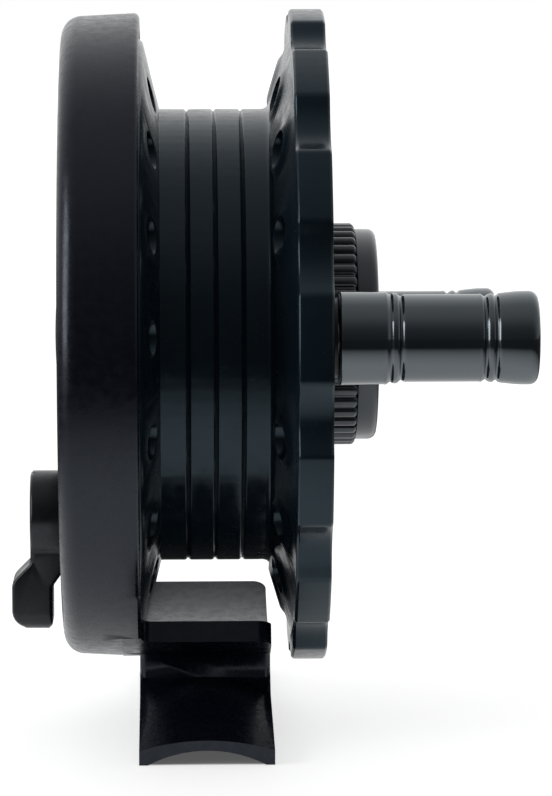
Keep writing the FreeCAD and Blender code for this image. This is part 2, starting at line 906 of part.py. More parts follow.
# Pawl drawn with the lever on, pointing at a tooth gap, then swung back to the lever's rest
def click_pawl():
    half = pawl_arm_width / 2
    length = pawl_arm_length
    tip = pawl_end_radius - ratchet_tip_radius + ratchet_engagement
    base = pawl_tip_width / 2 + (tip - half) * math.tan(math.radians(pawl_tooth_angle / 2))
    shoulder = pawl_hub_diameter / 2 - pawl_arm_width / 6
    corners = [
        (0, -shoulder),
        (length + half, -half, half),
        (length + half, half),
        (length + base, half),
        (length + pawl_tip_width / 2, tip),
        (length - pawl_tip_width / 2, tip),
        (length - base, half),
        (length - base - half, half),
        (0, shoulder),
    ]
    arm = plate(corners, pawl_left, pawl_right)
    shape = rod(pawl_hub_diameter / 2, pawl_left, pawl_right).fuse(arm).removeSplitter()
    shape.rotate(origin, along_x, pawl_gap_angle - lever_swing)
    shape.translate(Vector(0, 0, -lever_drop))
    return shape.cut(pawl_drive())


def pawl_screw():
    centre = Vector(0, 0, -lever_drop)
    head = rod(pawl_screw_head_diameter / 2, pawl_right, pawl_right + pawl_screw_head_height, centre)
    return head.fuse(pawl_screw_hole()).removeSplitter()


# Leaf spring: an eye under its screw and a strip on edge beside the pawl's hub
def detent_spring():
    left = detent_left()
    eye = detent_eye()
    flat = rod(detent_eye_diameter / 2, left, left + detent_thickness, eye)
    strip = Part.makeBox(detent_width, detent_length, detent_thickness,
                         Vector(left, eye.y, detent_strip_z()))
    shape = flat.fuse(strip)
    return shape.cut(rod(detent_screw_diameter / 2, left, left + detent_width, eye)).removeSplitter()


def spring_screw():
    left = detent_left()
    seat = left + detent_thickness
    shank = rod(detent_screw_diameter / 2, cup_inside, seat, detent_eye())
    head = rod(detent_screw_head_diameter / 2, seat, seat + detent_screw_head_height, detent_eye())
    return shank.fuse(head).removeSplitter()


pieces = {
    "frame": frame(),
    "hub_cap": hub_cap(),
    "spindle": spindle(),
    "spindle_nut": spindle_nut(),
    "spindle_washer": spindle_washer(),
    "pressure_plate": pressure_plate(),
    "drag_spring": drag_spring(),
    "detent_spring": detent_spring(),
    "spring_screw": spring_screw(),
    "click_lever": click_lever(),
    "click_pawl": click_pawl(),
    "pawl_screw": pawl_screw(),
    "spool": spool(),
    "ratchet_ring": ratchet_ring(),
    "inner_bush": inner_bush(),
    "outer_bush": bush(brake_seat - bush_length, brake_seat),
    "drag_washer": drag_washer(),
    "drag_knob": drag_knob(),
    "knob_insert": knob_insert(),
    "knob_cap": knob_cap(),
}
for name, side in (("front", 0), ("rear", 180)):
    pieces["handle_" + name] = handle(side)
    pieces["handle_screw_" + name] = handle_screw(side)
    pieces["handle_washer_" + name] = handle_washer(side)

os.makedirs("parts", exist_ok=True)
for name, shape in pieces.items():
    shape.translate(Vector(0, 0, axis_height))
    if not shape.isValid():
        print(name, "is not valid")
    box = shape.BoundBox
    print(name, "solids", len(shape.Solids), "volume", round(shape.Volume, 1),
          "X", round(box.XMin, 2), round(box.XMax, 2))
    shape.exportStep(os.path.join("parts", name + ".step"))
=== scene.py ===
import json
import math

import bmesh
import bpy
from mathutils import Matrix, Vector
from mathutils.bvhtree import BVHTree


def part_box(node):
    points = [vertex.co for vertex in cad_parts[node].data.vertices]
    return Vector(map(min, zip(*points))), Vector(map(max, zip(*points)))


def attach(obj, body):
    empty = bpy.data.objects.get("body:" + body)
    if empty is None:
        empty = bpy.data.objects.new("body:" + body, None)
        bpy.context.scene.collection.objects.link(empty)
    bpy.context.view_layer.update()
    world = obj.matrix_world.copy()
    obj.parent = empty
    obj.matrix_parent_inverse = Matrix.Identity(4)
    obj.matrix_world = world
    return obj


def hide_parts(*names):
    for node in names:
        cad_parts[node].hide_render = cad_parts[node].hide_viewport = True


# Lengths are in mm in the dictionaries of the pieces and the camera, and in metres in those of the stage and
# the lamp; depths of grain are in metres too
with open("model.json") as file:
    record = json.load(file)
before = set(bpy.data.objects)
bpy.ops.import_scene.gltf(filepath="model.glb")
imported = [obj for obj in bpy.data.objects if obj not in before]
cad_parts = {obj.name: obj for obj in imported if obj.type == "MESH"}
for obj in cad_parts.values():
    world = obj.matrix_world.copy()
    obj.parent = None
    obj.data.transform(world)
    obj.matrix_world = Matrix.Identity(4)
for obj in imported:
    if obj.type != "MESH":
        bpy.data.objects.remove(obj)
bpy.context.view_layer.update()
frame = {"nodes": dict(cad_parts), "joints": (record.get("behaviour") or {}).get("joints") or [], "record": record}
nodes = frame["nodes"]
joints = {joint["name"]: joint for joint in frame["joints"]}
axisHeight = joints["spool_spin"]["pos_m"][2]
mm = 0.001
print("frame loaded,", len(nodes), "nodes")


# Node helpers

def newMaterial(name):
    material = bpy.data.materials.new(name)
    material.use_nodes = True
    tree = material.node_tree
    tree.nodes.clear()
    output = tree.nodes.new("ShaderNodeOutputMaterial")
    shader = tree.nodes.new("ShaderNodeBsdfPrincipled")
    tree.links.new(shader.outputs["BSDF"], output.inputs["Surface"])
    return material, tree, shader


def noise(tree, coords, scale, detail=3.0, rough=0.55):
    texture = tree.nodes.new("ShaderNodeTexNoise")
    texture.inputs["Scale"].default_value = scale
    texture.inputs["Detail"].default_value = detail
    texture.inputs["Roughness"].default_value = rough
    tree.links.new(coords, texture.inputs["Vector"])
    return texture.outputs["Fac"]


def spread(tree, value, low, high, lowAt=0.3, highAt=0.7):
    ranged = tree.nodes.new("ShaderNodeMapRange")
    ranged.inputs["From Min"].default_value = lowAt
    ranged.inputs["From Max"].default_value = highAt
    ranged.inputs["To Min"].default_value = low
    ranged.inputs["To Max"].default_value = high
    tree.links.new(value, ranged.inputs["Value"])
    return ranged.outputs["Result"]


def toneMix(tree, factor, first, second):
    mix = tree.nodes.new("ShaderNodeMix")
    mix.data_type = "RGBA"
    tree.links.new(factor, mix.inputs[0])
    mix.inputs[6].default_value = (*first, 1)  # colour A
    mix.inputs[7].default_value = (*second, 1)  # colour B
    return mix.outputs[2]


def bump(tree, height, distance, strength, normal=None):
    node = tree.nodes.new("ShaderNodeBump")
    node.inputs["Distance"].default_value = distance
    node.inputs["Strength"].default_value = strength
    tree.links.new(height, node.inputs["Height"])
    if normal:
        tree.links.new(normal, node.inputs["Normal"])
    return node.outputs["Normal"]


# One Math node; what it is given is a number or another node's output
def maths(tree, operation, *given):
    node = tree.nodes.new("ShaderNodeMath")
    node.operation = operation
    for socket, value in zip(node.inputs, given):
        if isinstance(value, (int, float)):
            socket.default_value = value
        else:
            tree.links.new(value, socket)
    return node.outputs[0]


# Materials

# Moulded plastic: slow colour drift, uneven gloss and a moulded grain
def mouldedPlastic(name, look):
    material, tree, shader = newMaterial(name)
    coords = tree.nodes.new("ShaderNodeTexCoord").outputs["Object"]
    drift = noise(tree, coords, look["driftScale"])
    colour = toneMix(tree, spread(tree, drift, 0, 1), look["dark"], look["light"])
    tree.links.new(colour, shader.inputs["Base Color"])
    grain = noise(tree, coords, look["grainScale"], 1.0, 0.5)
    gloss = noise(tree, coords, look["glossScale"], 2.0)
    tree.links.new(spread(tree, gloss, look["glossy"], look["dull"]), shader.inputs["Roughness"])
    waves = bump(tree, noise(tree, coords, look["waveScale"], 1.0), look["waveDepth"], 1.0)
    tree.links.new(bump(tree, grain, look["grainDepth"], 1.0, waves), shader.inputs["Normal"])
    shader.inputs["IOR"].default_value = look["ior"]
    shader.inputs["Specular Tint"].default_value = (*look["tint"], 1)
    return material


latheLines = {"scale": (6000, 300, 300), "depth": 0.00001, "strength": 0.4, "driftScale": 300}


# Turned metal: fine lathe lines round the X axis
def turnedMetal(name, look):
    material, tree, shader = newMaterial(name)
    coords = tree.nodes.new("ShaderNodeTexCoord").outputs["Object"]
    drift = noise(tree, coords, latheLines["driftScale"])
    colour = toneMix(tree, spread(tree, drift, 0, 1), look["dark"], look["light"])
    tree.links.new(colour, shader.inputs["Base Color"])
    mapping = tree.nodes.new("ShaderNodeMapping")
    mapping.inputs["Scale"].default_value = latheLines["scale"]
    tree.links.new(coords, mapping.inputs["Vector"])
    lines = noise(tree, mapping.outputs["Vector"], 1.0, 2.0)
    tree.links.new(spread(tree, lines, look["glossy"], look["dull"]), shader.inputs["Roughness"])
    pressed = bump(tree, lines, latheLines["depth"], latheLines["strength"])
    tree.links.new(pressed, shader.inputs["Normal"])
    shader.inputs["Metallic"].default_value = 1.0
    return material


finishes = {
    "frame_plastic": mouldedPlastic("framePlastic", {
        "dark": (0.003, 0.0042, 0.009), "light": (0.0045, 0.006, 0.013), "driftScale": 60,
        "ior": 1.5, "tint": (0.78, 0.86, 1.0), "glossScale": 900, "glossy": 0.2, "dull": 0.34,
        "grainScale": 7000, "grainDepth": 0.000009, "waveScale": 260, "waveDepth": 0.00002}),
    "spool_plastic": mouldedPlastic("spoolPlastic", {
        "dark": (0.005, 0.011, 0.017), "light": (0.008, 0.016, 0.024), "driftScale": 70,
        "ior": 1.5, "tint": (0.62, 0.85, 1.0), "glossScale": 700, "glossy": 0.17, "dull": 0.28,
        "grainScale": 6000, "grainDepth": 0.000003, "waveScale": 180, "waveDepth": 0.00002}),
    "handle_plastic": mouldedPlastic("handlePlastic", {
        "dark": (0.002, 0.005, 0.008), "light": (0.004, 0.008, 0.011), "driftScale": 90,
        "ior": 2.25, "tint": (0.82, 0.93, 1.0), "glossScale": 500, "glossy": 0.08, "dull": 0.14,
        "grainScale": 3000, "grainDepth": 0.000001, "waveScale": 200, "waveDepth": 0.00001}),
    "knob_plastic": mouldedPlastic("knobPlastic", {
        "dark": (0.006, 0.009, 0.014), "light": (0.009, 0.013, 0.018), "driftScale": 90,
        "ior": 1.75, "tint": (0.85, 0.92, 1.0), "glossScale": 700, "glossy": 0.14, "dull": 0.24,
        "grainScale": 5000, "grainDepth": 0.000002, "waveScale": 200, "waveDepth": 0.00001}),
    "lever_plastic": mouldedPlastic("leverPlastic", {
        "dark": (0.006, 0.006, 0.008), "light": (0.009, 0.009, 0.011), "driftScale": 90,
        "ior": 1.5, "tint": (0.85, 0.92, 1.0), "glossScale": 700, "glossy": 0.22, "dull": 0.34,
        "grainScale": 5000, "grainDepth": 0.000003, "waveScale": 200, "waveDepth": 0.00001}),
    "washer_plastic": mouldedPlastic("washerPlastic", {
        "dark": (0.008, 0.008, 0.01), "light": (0.012, 0.012, 0.014), "driftScale": 200,
        "ior": 1.5, "tint": (1.0, 1.0, 1.0), "glossScale": 700, "glossy": 0.4, "dull": 0.5,
        "grainScale": 5000, "grainDepth": 0.000004, "waveScale": 200, "waveDepth": 0.00001}),
    "fibre": mouldedPlastic("pressedFibre", {
        "dark": (0.16, 0.07, 0.03), "light": (0.3, 0.15, 0.07), "driftScale": 900,
        "ior": 1.45, "tint": (1.0, 1.0, 1.0), "glossScale": 900, "glossy": 0.7, "dull": 0.85,
        "grainScale": 2500, "grainDepth": 0.00004, "waveScale": 400, "waveDepth": 0.00002}),
    "steel": turnedMetal("turnedSteel", {
        "dark": (0.48, 0.48, 0.49), "light": (0.62, 0.62, 0.63), "glossy": 0.2, "dull": 0.34}),
    "spring_steel": turnedMetal("springSteel", {
        "dark": (0.36, 0.37, 0.4), "light": (0.5, 0.51, 0.54), "glossy": 0.25, "dull": 0.4}),
    "brass": turnedMetal("turnedBrass", {
        "dark": (0.56, 0.4, 0.17), "light": (0.74, 0.56, 0.28), "glossy": 0.2, "dull": 0.36}),
}
slotOf = {part["node"]: part["material_slot"] for part in frame["record"]["subparts"]}
bodyOf = {node: body for body, members in frame["record"]["behaviour"]["bodies"].items() for node in members}
for nodeName, node in nodes.items():
    node.data.materials.clear()
    node.data.materials.append(finishes[slotOf[nodeName]])
print("materials set")


# Mesh helpers

# A finished piece stands in for the CAD nodes named, with their body and finish.
# Edges sharper than sharpFrom degrees shade sharp, and faces over flatFrom square millimetres shade flat.
def placePiece(name, mesh, replaced, sharpFrom=32, flatFrom=math.inf):
    data = bpy.data.meshes.new(name)
    bmesh.ops.recalc_face_normals(mesh, faces=mesh.faces)
    mesh.to_mesh(data)
    mesh.free()
    data.shade_smooth()
    data.set_sharp_from_angle(angle=math.radians(sharpFrom))
    for face in data.polygons:
        face.use_smooth = face.area < flatFrom * mm * mm
    piece = bpy.data.objects.new(name, data)
    bpy.context.scene.collection.objects.link(piece)
    slot = slotOf[replaced[0]]
    data.materials.append(finishes[slot])
    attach(piece, bodyOf[replaced[0]])
    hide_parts(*replaced)


# The ends along X of a CAD node's box, in mm
def endsOf(nodeName):
    low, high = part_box(nodeName)
    return low[0] / mm, high[0] / mm


# Solid of revolution about a line along X; the profile is (x, radius) in mm, a pole where the radius is 0
def lathe(profile, centre=(0, 0), segments=128):
    mesh = bmesh.new()
    rings = []
    for x, radius in profile:
        if radius == 0:
            rings.append([mesh.verts.new((x * mm, centre[0], centre[1]))])
            continue
        ring = []
        for step in range(segments):
            turn = 2 * math.pi * step / segments
            ring.append(mesh.verts.new((x * mm, centre[0] + radius * mm * math.cos(turn),
                                        centre[1] + radius * mm * math.sin(turn))))
        rings.append(ring)
    if len(rings[0]) > 1:
        rings.append(rings[0])
    for near, far in zip(rings, rings[1:]):
        for step in range(segments):
            after = (step + 1) % segments
            if len(near) == 1:
                mesh.faces.new((near[0], far[step], far[after]))
            elif len(far) == 1:
                mesh.faces.new((near[step], near[after], far[0]))
            else:
                mesh.faces.new((near[step], near[after], far[after], far[step]))
    return mesh


# Points on a rounded profile corner, from one tangent point to the other
def roundCorner(before, corner, after, radius, steps=5):
    corner = Vector(corner)
    back = (Vector(before) - corner).normalized()
    ahead = (Vector(after) - corner).normalized()
    half = back.angle(ahead) / 2
    middle = corner + (back + ahead).normalized() * radius / math.sin(half)
    start = corner + back * radius / math.tan(half) - middle
    end = corner + ahead * radius / math.tan(half) - middle
    sweep = math.pi - 2 * half
    points = []
    for step in range(steps + 1):
        share = step / steps
        spoke = start * math.sin((1 - share) * sweep) + end * math.sin(share * sweep)
        points.append(tuple(middle + spoke / math.sin(sweep)))
    return points


# Profile with roundings: each corner is (x, radius) or (x, radius, rounding)
def roundedProfile(corners):
    points = []
    for at, corner in enumerate(corners):
        if len(corner) == 2:
            points.append(corner)
            continue
        before = corners[at - 1][:2]
        after = corners[(at + 1) % len(corners)][:2]
        points += roundCorner(before, corner[:2], after, corner[2])
    return points


# How the edges of CAD copies are softened: angles in degrees, straightest as the cosine between two edges,
# and stray as the share of the rounding that a point may lie off the solid
softening = {"merge": 0.002, "flatWithin": 0.4, "straightest": -0.6, "stray": 0.35}


# Edges over the look's angle, apart from those right of and below its plain corner, which stay as in CAD
def sharpEdges(mesh, look):
    right, top = look["plainRight"] * mm, look["plainTop"] * mm
    return [edge for edge in mesh.edges
            if len(edge.link_faces) == 2 and edge.calc_face_angle(0) > math.radians(look["from"])
            and not all(vertex.co.x > right and vertex.co.z < top for vertex in edge.verts)]


# Sharp edges in smooth runs, none that ends in a corner of three or more
def smoothRuns(sharp):
    known = set(sharp)
    chosen = []
    for edge in sharp:
        clean = True
        for vertex in edge.verts:
            run = [other for other in vertex.link_edges if other in known]
            if len(run) != 2:
                clean = False
                continue
            ways = [(other.other_vert(vertex).co - vertex.co).normalized() for other in run]
            clean = clean and ways[0].dot(ways[1]) < softening["straightest"]
        if clean:
            chosen.append(edge)
    return chosen


# Evenly spaced points along an edge
def cutEdge(edge, pieces):
    start, end = edge.verts
    for left in range(pieces, 1, -1):
        start = bmesh.utils.edge_split(edge, start, 1 / left)[1]
        edge = next(part for part in start.link_edges if end in part.verts)


# Copy of a CAD node with its edges softened; what a bevel throws off the solid goes back to its surface
def softenedCopy(nodeName, look):
    mesh = bmesh.new()
    mesh.from_mesh(nodes[nodeName].data)
    bmesh.ops.remove_doubles(mesh, verts=mesh.verts, dist=softening["merge"] * mm)
    surface = BVHTree.FromBMesh(mesh)
    bmesh.ops.dissolve_limit(mesh, angle_limit=math.radians(softening["flatWithin"]), verts=mesh.verts,
                             edges=mesh.edges)
    for edge in sharpEdges(mesh, look):
        cuts = int(edge.calc_length() / (look["stretch"] * mm))
        if cuts > 1:
            cutEdge(edge, min(cuts, look["mostCuts"]) + 1)
    bmesh.ops.bevel(mesh, geom=smoothRuns(sharpEdges(mesh, look)), offset=look["round"] * mm,
                    segments=look["segments"], profile=0.5, affect="EDGES", clamp_overlap=False)
    farthest = look["round"] * mm * softening["stray"]
    for vertex in mesh.verts:
        nearest, normal, face, distance = surface.find_nearest(vertex.co)
        if (vertex.co - nearest).dot(normal) > 0 or distance > farthest:
            vertex.co = nearest
    bmesh.ops.remove_doubles(mesh, verts=mesh.verts, dist=softening["merge"] * mm)
    return mesh


def softenedPiece(name, nodeName, look):
    placePiece(name, softenedCopy(nodeName, look), [nodeName], look["sharpFrom"], look["flatFrom"])


# Frame

frameLook = {"from": 30, "round": 0.25, "segments": 3, "stretch": 0.5, "mostCuts": 60,
             "plainRight": -12.0, "plainTop": 19.0, "sharpFrom": 31, "flatFrom": 60}
softenedPiece("frameMoulding", "frame", frameLook)
print("frame made")


# Spool

spoolLook = {"from": 35, "round": 0.09, "segments": 2, "stretch": 0.5, "mostCuts": 20,
             "plainRight": 0.0, "plainTop": 0.0, "sharpFrom": 40, "flatFrom": math.inf}
softenedPiece("spoolMoulding", "spool", spoolLook)
print("spool made")

# The slope is how far the flange runs outwards for each mm of radius; the legs only give directions
filletLook = {"drumRadius": 27.75, "x": 7.9, "slope": 0.3006, "round": 0.95, "steps": 7, "sunk": 0.25,
              "leg": 5, "segments": 256, "sharpFrom": 40}


# Rounded inner corner between the drum and the outer flange
def cornerFillet():
    look = filletLook
    corner = Vector((look["x"], look["drumRadius"]))
    along = Vector((-1.0, 0.0))
    up = Vector((look["slope"], 1.0)).normalized()
    reach = look["round"] / math.tan(along.angle(up) / 2)
    first = corner + along * reach
    last = corner + up * reach
    before = tuple(corner + along * look["leg"])
    after = tuple(corner + up * look["leg"])
    inside = corner - (along + up).normalized() * look["sunk"]
    points = [(first[0], first[1] - look["sunk"])]
    points += roundCorner(before, tuple(corner), after, look["round"], look["steps"])
    points += [(last[0] + look["sunk"], last[1]), tuple(inside)]
    ring = lathe(points, (0, axisHeight), look["segments"])
    placePiece("drumFillet", ring, ["spool"], look["sharpFrom"])


cornerFillet()


# Handles

handleLook = {
    "bore": 1.8, "recess": 3.15, "recessDepth": 2.25, "recessEdge": 0.15,
    "base": 5.4, "baseEnd": 5.33, "baseEdge": 0.3, "baseLength": 5.3, "waist": 5.06, "waistEase": 0.3,
    "end": 5.42, "endLength": 4.35, "endEdge": 1.0, "endLead": 1.2, "faceShare": 0.75, "crown": 0.12,
    "flareLead": 0.2, "flareTail": 0.4,
    "grooveGap": 1.23, "grooveDepth": 0.26, "grooveWidth": 0.26, "lip": 0.05, "lipWidth": 0.16,
    "lipAside": 0.5, "stretchStep": 0.07, "segments": 112,
}


# Radius of the grip at a distance from its base: straight waist, flared end, grooves with raised lips
def gripRadius(at, length, grooves, look):
    waist, end = look["waist"], look["end"]
    base = look["base"] + (look["baseEnd"] - look["base"]) * at / look["baseLength"]
    toWaist = min(max((at - grooves[0]) / (grooves[1] - grooves[0] + look["waistEase"]), 0), 1)
    radius = base + (waist - base) * toWaist
    flareLength = length - look["endEdge"] - grooves[2] - look["flareTail"]
    flare = min(max((at - grooves[2] + look["flareLead"]) / flareLength, 0), 1)
    radius += (end - waist) * flare * flare * (3 - 2 * flare)
    for groove in grooves:
        radius -= look["grooveDepth"] * math.exp(-((at - groove) / look["grooveWidth"]) ** 2)
        radius += look["lip"] * math.exp(-((at - groove + look["lipAside"]) / look["lipWidth"]) ** 2)
    return radius


def handlePiece(side):
    look = handleLook
    left, right = endsOf("handle_" + side)
    length = right - left
    grooves = [look["baseLength"] + look["grooveGap"] / 2]
    grooves.append(grooves[0] + look["grooveGap"])
    grooves.append(length - look["endLength"] - look["grooveGap"] * 1.5)
    grooves.append(grooves[2] + look["grooveGap"])
    corners = [(left, look["bore"]), (left, look["base"], look["baseEdge"])]
    at = look["baseEdge"] * 2
    last = length - look["endEdge"] * look["endLead"]
    while at < last:
        corners.append((left + at, gripRadius(at, length, grooves, look)))
        at += look["stretchStep"]
    floor = right - look["recessDepth"]
    corners.append((right - look["crown"], look["end"], look["endEdge"]))
    corners.append((right, look["end"] * look["faceShare"]))
    corners.append((right, look["recess"], look["recessEdge"]))
    corners += [(floor, look["recess"]), (floor, look["bore"])]
    centre = joints["handle_" + side + "_spin"]["pos_m"]
    grip = lathe(roundedProfile(corners), centre[1:], look["segments"])
    placePiece("handleGrip" + side.capitalize(), grip, ["handle_" + side])


for side in ("front", "rear"):
    handlePiece(side)
print("handles made")


# Drag knob and its cap

knobLook = {"tip": 13.65, "ridges": 48, "ridgeHeight": 0.5, "ridgeShare": 0.78, "segmentsPerRidge": 14,
            "chamfer": 0.45, "chamferStart": 0.6, "chamferBend": 0.2, "sidePieces": 4,
            "belowRoot": 0.1, "rootSlack": 0.05, "hollow": 10.5, "roof": 2.65, "bore": 4.25, "flange": 5.5,
            "flangeDepth": 0.8, "sharpFrom": 35}


# Tree that presses ridges into a turned blank: the surface sinks between them
def knurlTree(material):
    tree = bpy.data.node_groups.new("knurlRidges", "GeometryNodeTree")
    sockets = tree.interface
    sockets.new_socket("Geometry", in_out="INPUT", socket_type="NodeSocketGeometry")
    inputs = {}
    for name, kind in (("ridges", "Int"), ("height", "Float"), ("share", "Float"),
                       ("fromRadius", "Float"), ("axisHeight", "Float")):
        socket = sockets.new_socket(name, in_out="INPUT", socket_type="NodeSocket" + kind)
        inputs[name] = socket.identifier
    sockets.new_socket("Geometry", in_out="OUTPUT", socket_type="NodeSocketGeometry")
    link = tree.links.new
    entry = tree.nodes.new("NodeGroupInput")
    value = {socket.name: socket for socket in entry.outputs}
    parts = tree.nodes.new("ShaderNodeSeparateXYZ")
    link(tree.nodes.new("GeometryNodeInputPosition").outputs[0], parts.inputs[0])
    out = parts.outputs[1]
    up = maths(tree, "SUBTRACT", parts.outputs[2], value["axisHeight"])
    turn = maths(tree, "ARCTAN2", up, out)
    squares = maths(tree, "ADD", maths(tree, "POWER", up, 2.0), maths(tree, "POWER", out, 2.0))
    radius = maths(tree, "SQRT", squares)
    # Place within one ridge, 0 to 1; the whole turns added keep it from going below 0
    ridge = maths(tree, "MULTIPLY", maths(tree, "DIVIDE", turn, 2 * math.pi), value["ridges"])
    along = maths(tree, "FRACT", maths(tree, "ADD", ridge, 100.0))
    fromMiddle = maths(tree, "ABSOLUTE", maths(tree, "SUBTRACT", along, 0.5))
    halfRidge = maths(tree, "MULTIPLY", value["share"], 0.5)
    across = maths(tree, "MINIMUM", maths(tree, "DIVIDE", fromMiddle, halfRidge), 1.0)
    crest = maths(tree, "SQRT", maths(tree, "SUBTRACT", 1.0, maths(tree, "POWER", across, 2.0)))
    sink = maths(tree, "MULTIPLY", maths(tree, "SUBTRACT", 1.0, crest), value["height"])
    outer = maths(tree, "GREATER_THAN", radius, value["fromRadius"])
    inwards = maths(tree, "MULTIPLY", maths(tree, "MULTIPLY", sink, outer), -1.0)
    share = maths(tree, "DIVIDE", inwards, radius)
    offset = tree.nodes.new("ShaderNodeCombineXYZ")
    link(maths(tree, "MULTIPLY", out, share), offset.inputs[1])
    link(maths(tree, "MULTIPLY", up, share), offset.inputs[2])
    press = tree.nodes.new("GeometryNodeSetPosition")
    link(entry.outputs[0], press.inputs["Geometry"])
    link(offset.outputs[0], press.inputs["Offset"])
    real = tree.nodes.new("GeometryNodeRealizeInstances")
    link(press.outputs[0], real.inputs[0])
    dress = tree.nodes.new("GeometryNodeSetMaterial")
    dress.inputs["Material"].default_value = material
    link(real.outputs[0], dress.inputs["Geometry"])
    leave = tree.nodes.new("NodeGroupOutput")
    link(dress.outputs[0], leave.inputs[0])
    return tree, inputs


def evaluatedMesh(piece):
    bpy.context.view_layer.update()
    seen = piece.evaluated_get(bpy.context.evaluated_depsgraph_get())
    return bpy.data.meshes.new_from_object(seen)


# Turned blank of the knob, with enough segments for its ridges
def knobBlank(look, root):
    left, right = endsOf("drag_knob")
    tip, chamfer = look["tip"], look["chamfer"]
    roof = right - look["roof"]
    seat = roof + look["flangeDepth"]
    foot = root - look["belowRoot"]
    start, bend = chamfer * look["chamferStart"], chamfer * look["chamferBend"]
    corners = [(left, look["hollow"]), (left, foot), (left, root), (left, tip)]
    for step in range(1, look["sidePieces"] + 1):
        corners.append((left + (right - chamfer - left) * step / look["sidePieces"], tip))
    corners += [(right - start, tip - bend), (right - bend, tip - start), (right, tip - chamfer)]
    corners += [(right, foot), (right, look["bore"]), (seat, look["bore"])]
    corners += [(seat, look["flange"]), (roof, look["flange"]), (roof, look["hollow"])]
    blank = lathe(corners, (0, axisHeight), look["ridges"] * look["segmentsPerRidge"])
    bmesh.ops.recalc_face_normals(blank, faces=blank.faces)
    data = bpy.data.meshes.new("knobBlank")
    blank.to_mesh(data)
    blank.free()
    holder = bpy.data.objects.new("knobBlank", data)
    bpy.context.scene.collection.objects.link(holder)
    return holder


def dragKnob():
    look = knobLook
    root = look["tip"] - look["ridgeHeight"]
    holder = knobBlank(look, root)
    modifier = holder.modifiers.new("knurl", "NODES")
    tree, inputs = knurlTree(finishes["knob_plastic"])
    modifier.node_group = tree
    modifier[inputs["ridges"]] = look["ridges"]
    modifier[inputs["height"]] = look["ridgeHeight"] * mm
    modifier[inputs["share"]] = look["ridgeShare"]
    modifier[inputs["fromRadius"]] = (root - look["rootSlack"]) * mm
    modifier[inputs["axisHeight"]] = axisHeight
    knurled = bmesh.new()
    knurled.from_mesh(evaluatedMesh(holder))
    bpy.data.objects.remove(holder)
    placePiece("knurledKnob", knurled, ["drag_knob"], look["sharpFrom"])


dragKnob()
print("knurled knob made")

capLook = {"radius": 12.95, "edge": 0.95, "dome": 0.5, "domeAtEdge": 0.86, "rings": 16, "wall": 1.2,
           "footEdge": 0.12, "segments": 160}


def knobCap():
    look = capLook
    left, right = endsOf("knob_cap")
    radius, dome = look["radius"], look["dome"]
    inside = radius - look["wall"]
    roof = right - dome - look["wall"]
    sphere = (radius ** 2 + dome ** 2) / (2 * dome)
    corners = [(roof, 0), (roof, inside), (left, inside), (left, radius, look["footEdge"])]
    corners.append((right - dome * look["domeAtEdge"], radius, look["edge"]))
    for ring in range(2, look["rings"]):
        out = radius * (1 - ring / look["rings"])
        corners.append((right - sphere + math.sqrt(sphere ** 2 - out ** 2), out))
    corners.append((right, 0))
    cap = lathe(roundedProfile(corners), (0, axisHeight), look["segments"])
    placePiece("knobCap", cap, ["knob_cap"])


knobCap()
print("knob cap made")


# Hub cap

hubCapLook = {"radius": 10.65, "dome": 1.05, "domeShare": 0.9, "rings": 14, "edge": 0.2, "wall": 0.8,
              "hollow": 4.5, "segments": 128}


def hubCap():
    look = hubCapLook
    left, right = endsOf("hub_cap")
    radius = look["radius"]
    floor = left + look["wall"]
    corners = [(floor, 0), (floor, look["hollow"]), (right, look["hollow"])]
    corners += [(right, radius), (left + look["dome"], radius, look["edge"])]
    rise = look["dome"] * look["domeShare"]
    sphere = (radius ** 2 + rise ** 2) / (2 * rise)
    for ring in range(1, look["rings"]):
        out = radius * (1 - ring / look["rings"])
        corners.append((left + sphere - math.sqrt(sphere ** 2 - out ** 2), out))
    corners.append((left, 0))
    cap = lathe(roundedProfile(corners), (0, axisHeight), look["segments"])
    placePiece("hubCap", cap, ["hub_cap"])


hubCap()
print("hub cap made")


# Click lever

leverLook = {"from": 30, "round": 0.45, "segments": 4, "stretch": 0.6, "mostCuts": 20,
             "plainRight": 0.0, "plainTop": 0.0, "sharpFrom": 40, "flatFrom": math.inf}
softenedPiece("clickLever", "click_lever", leverLook)
print("lever made")


# Stage: the pool is a painted pool of light, a bright floor colour round the foot that gloss mirrors, with a
# painted dark floor beyond it, and the tunnel is under the foot's saddle, where the floor's glow is cut as a
# painted shadow

# near and away are the floor colours of the painted pool of light round the foot and of the painted dark shade
# beyond it
stageLook = {"width": 6.0, "gap": 0.00002, "near": (0.9, 0.9, 0.9), "away": (0.06, 0.06, 0.06),
             "roughness": 0.6, "specular": 0.2, "glow": 0.61, "paintedReflectionGlow": 0.5, "paintedTunnelShadeGlow": 0.09,
             "footHalfWidth": 0.0078, "footHalfLength": 0.033, "paintedFootShadowFade": 0.0012,
             "paintedLightPoolFrom": 0.06, "paintedLightPoolTo": 0.16}
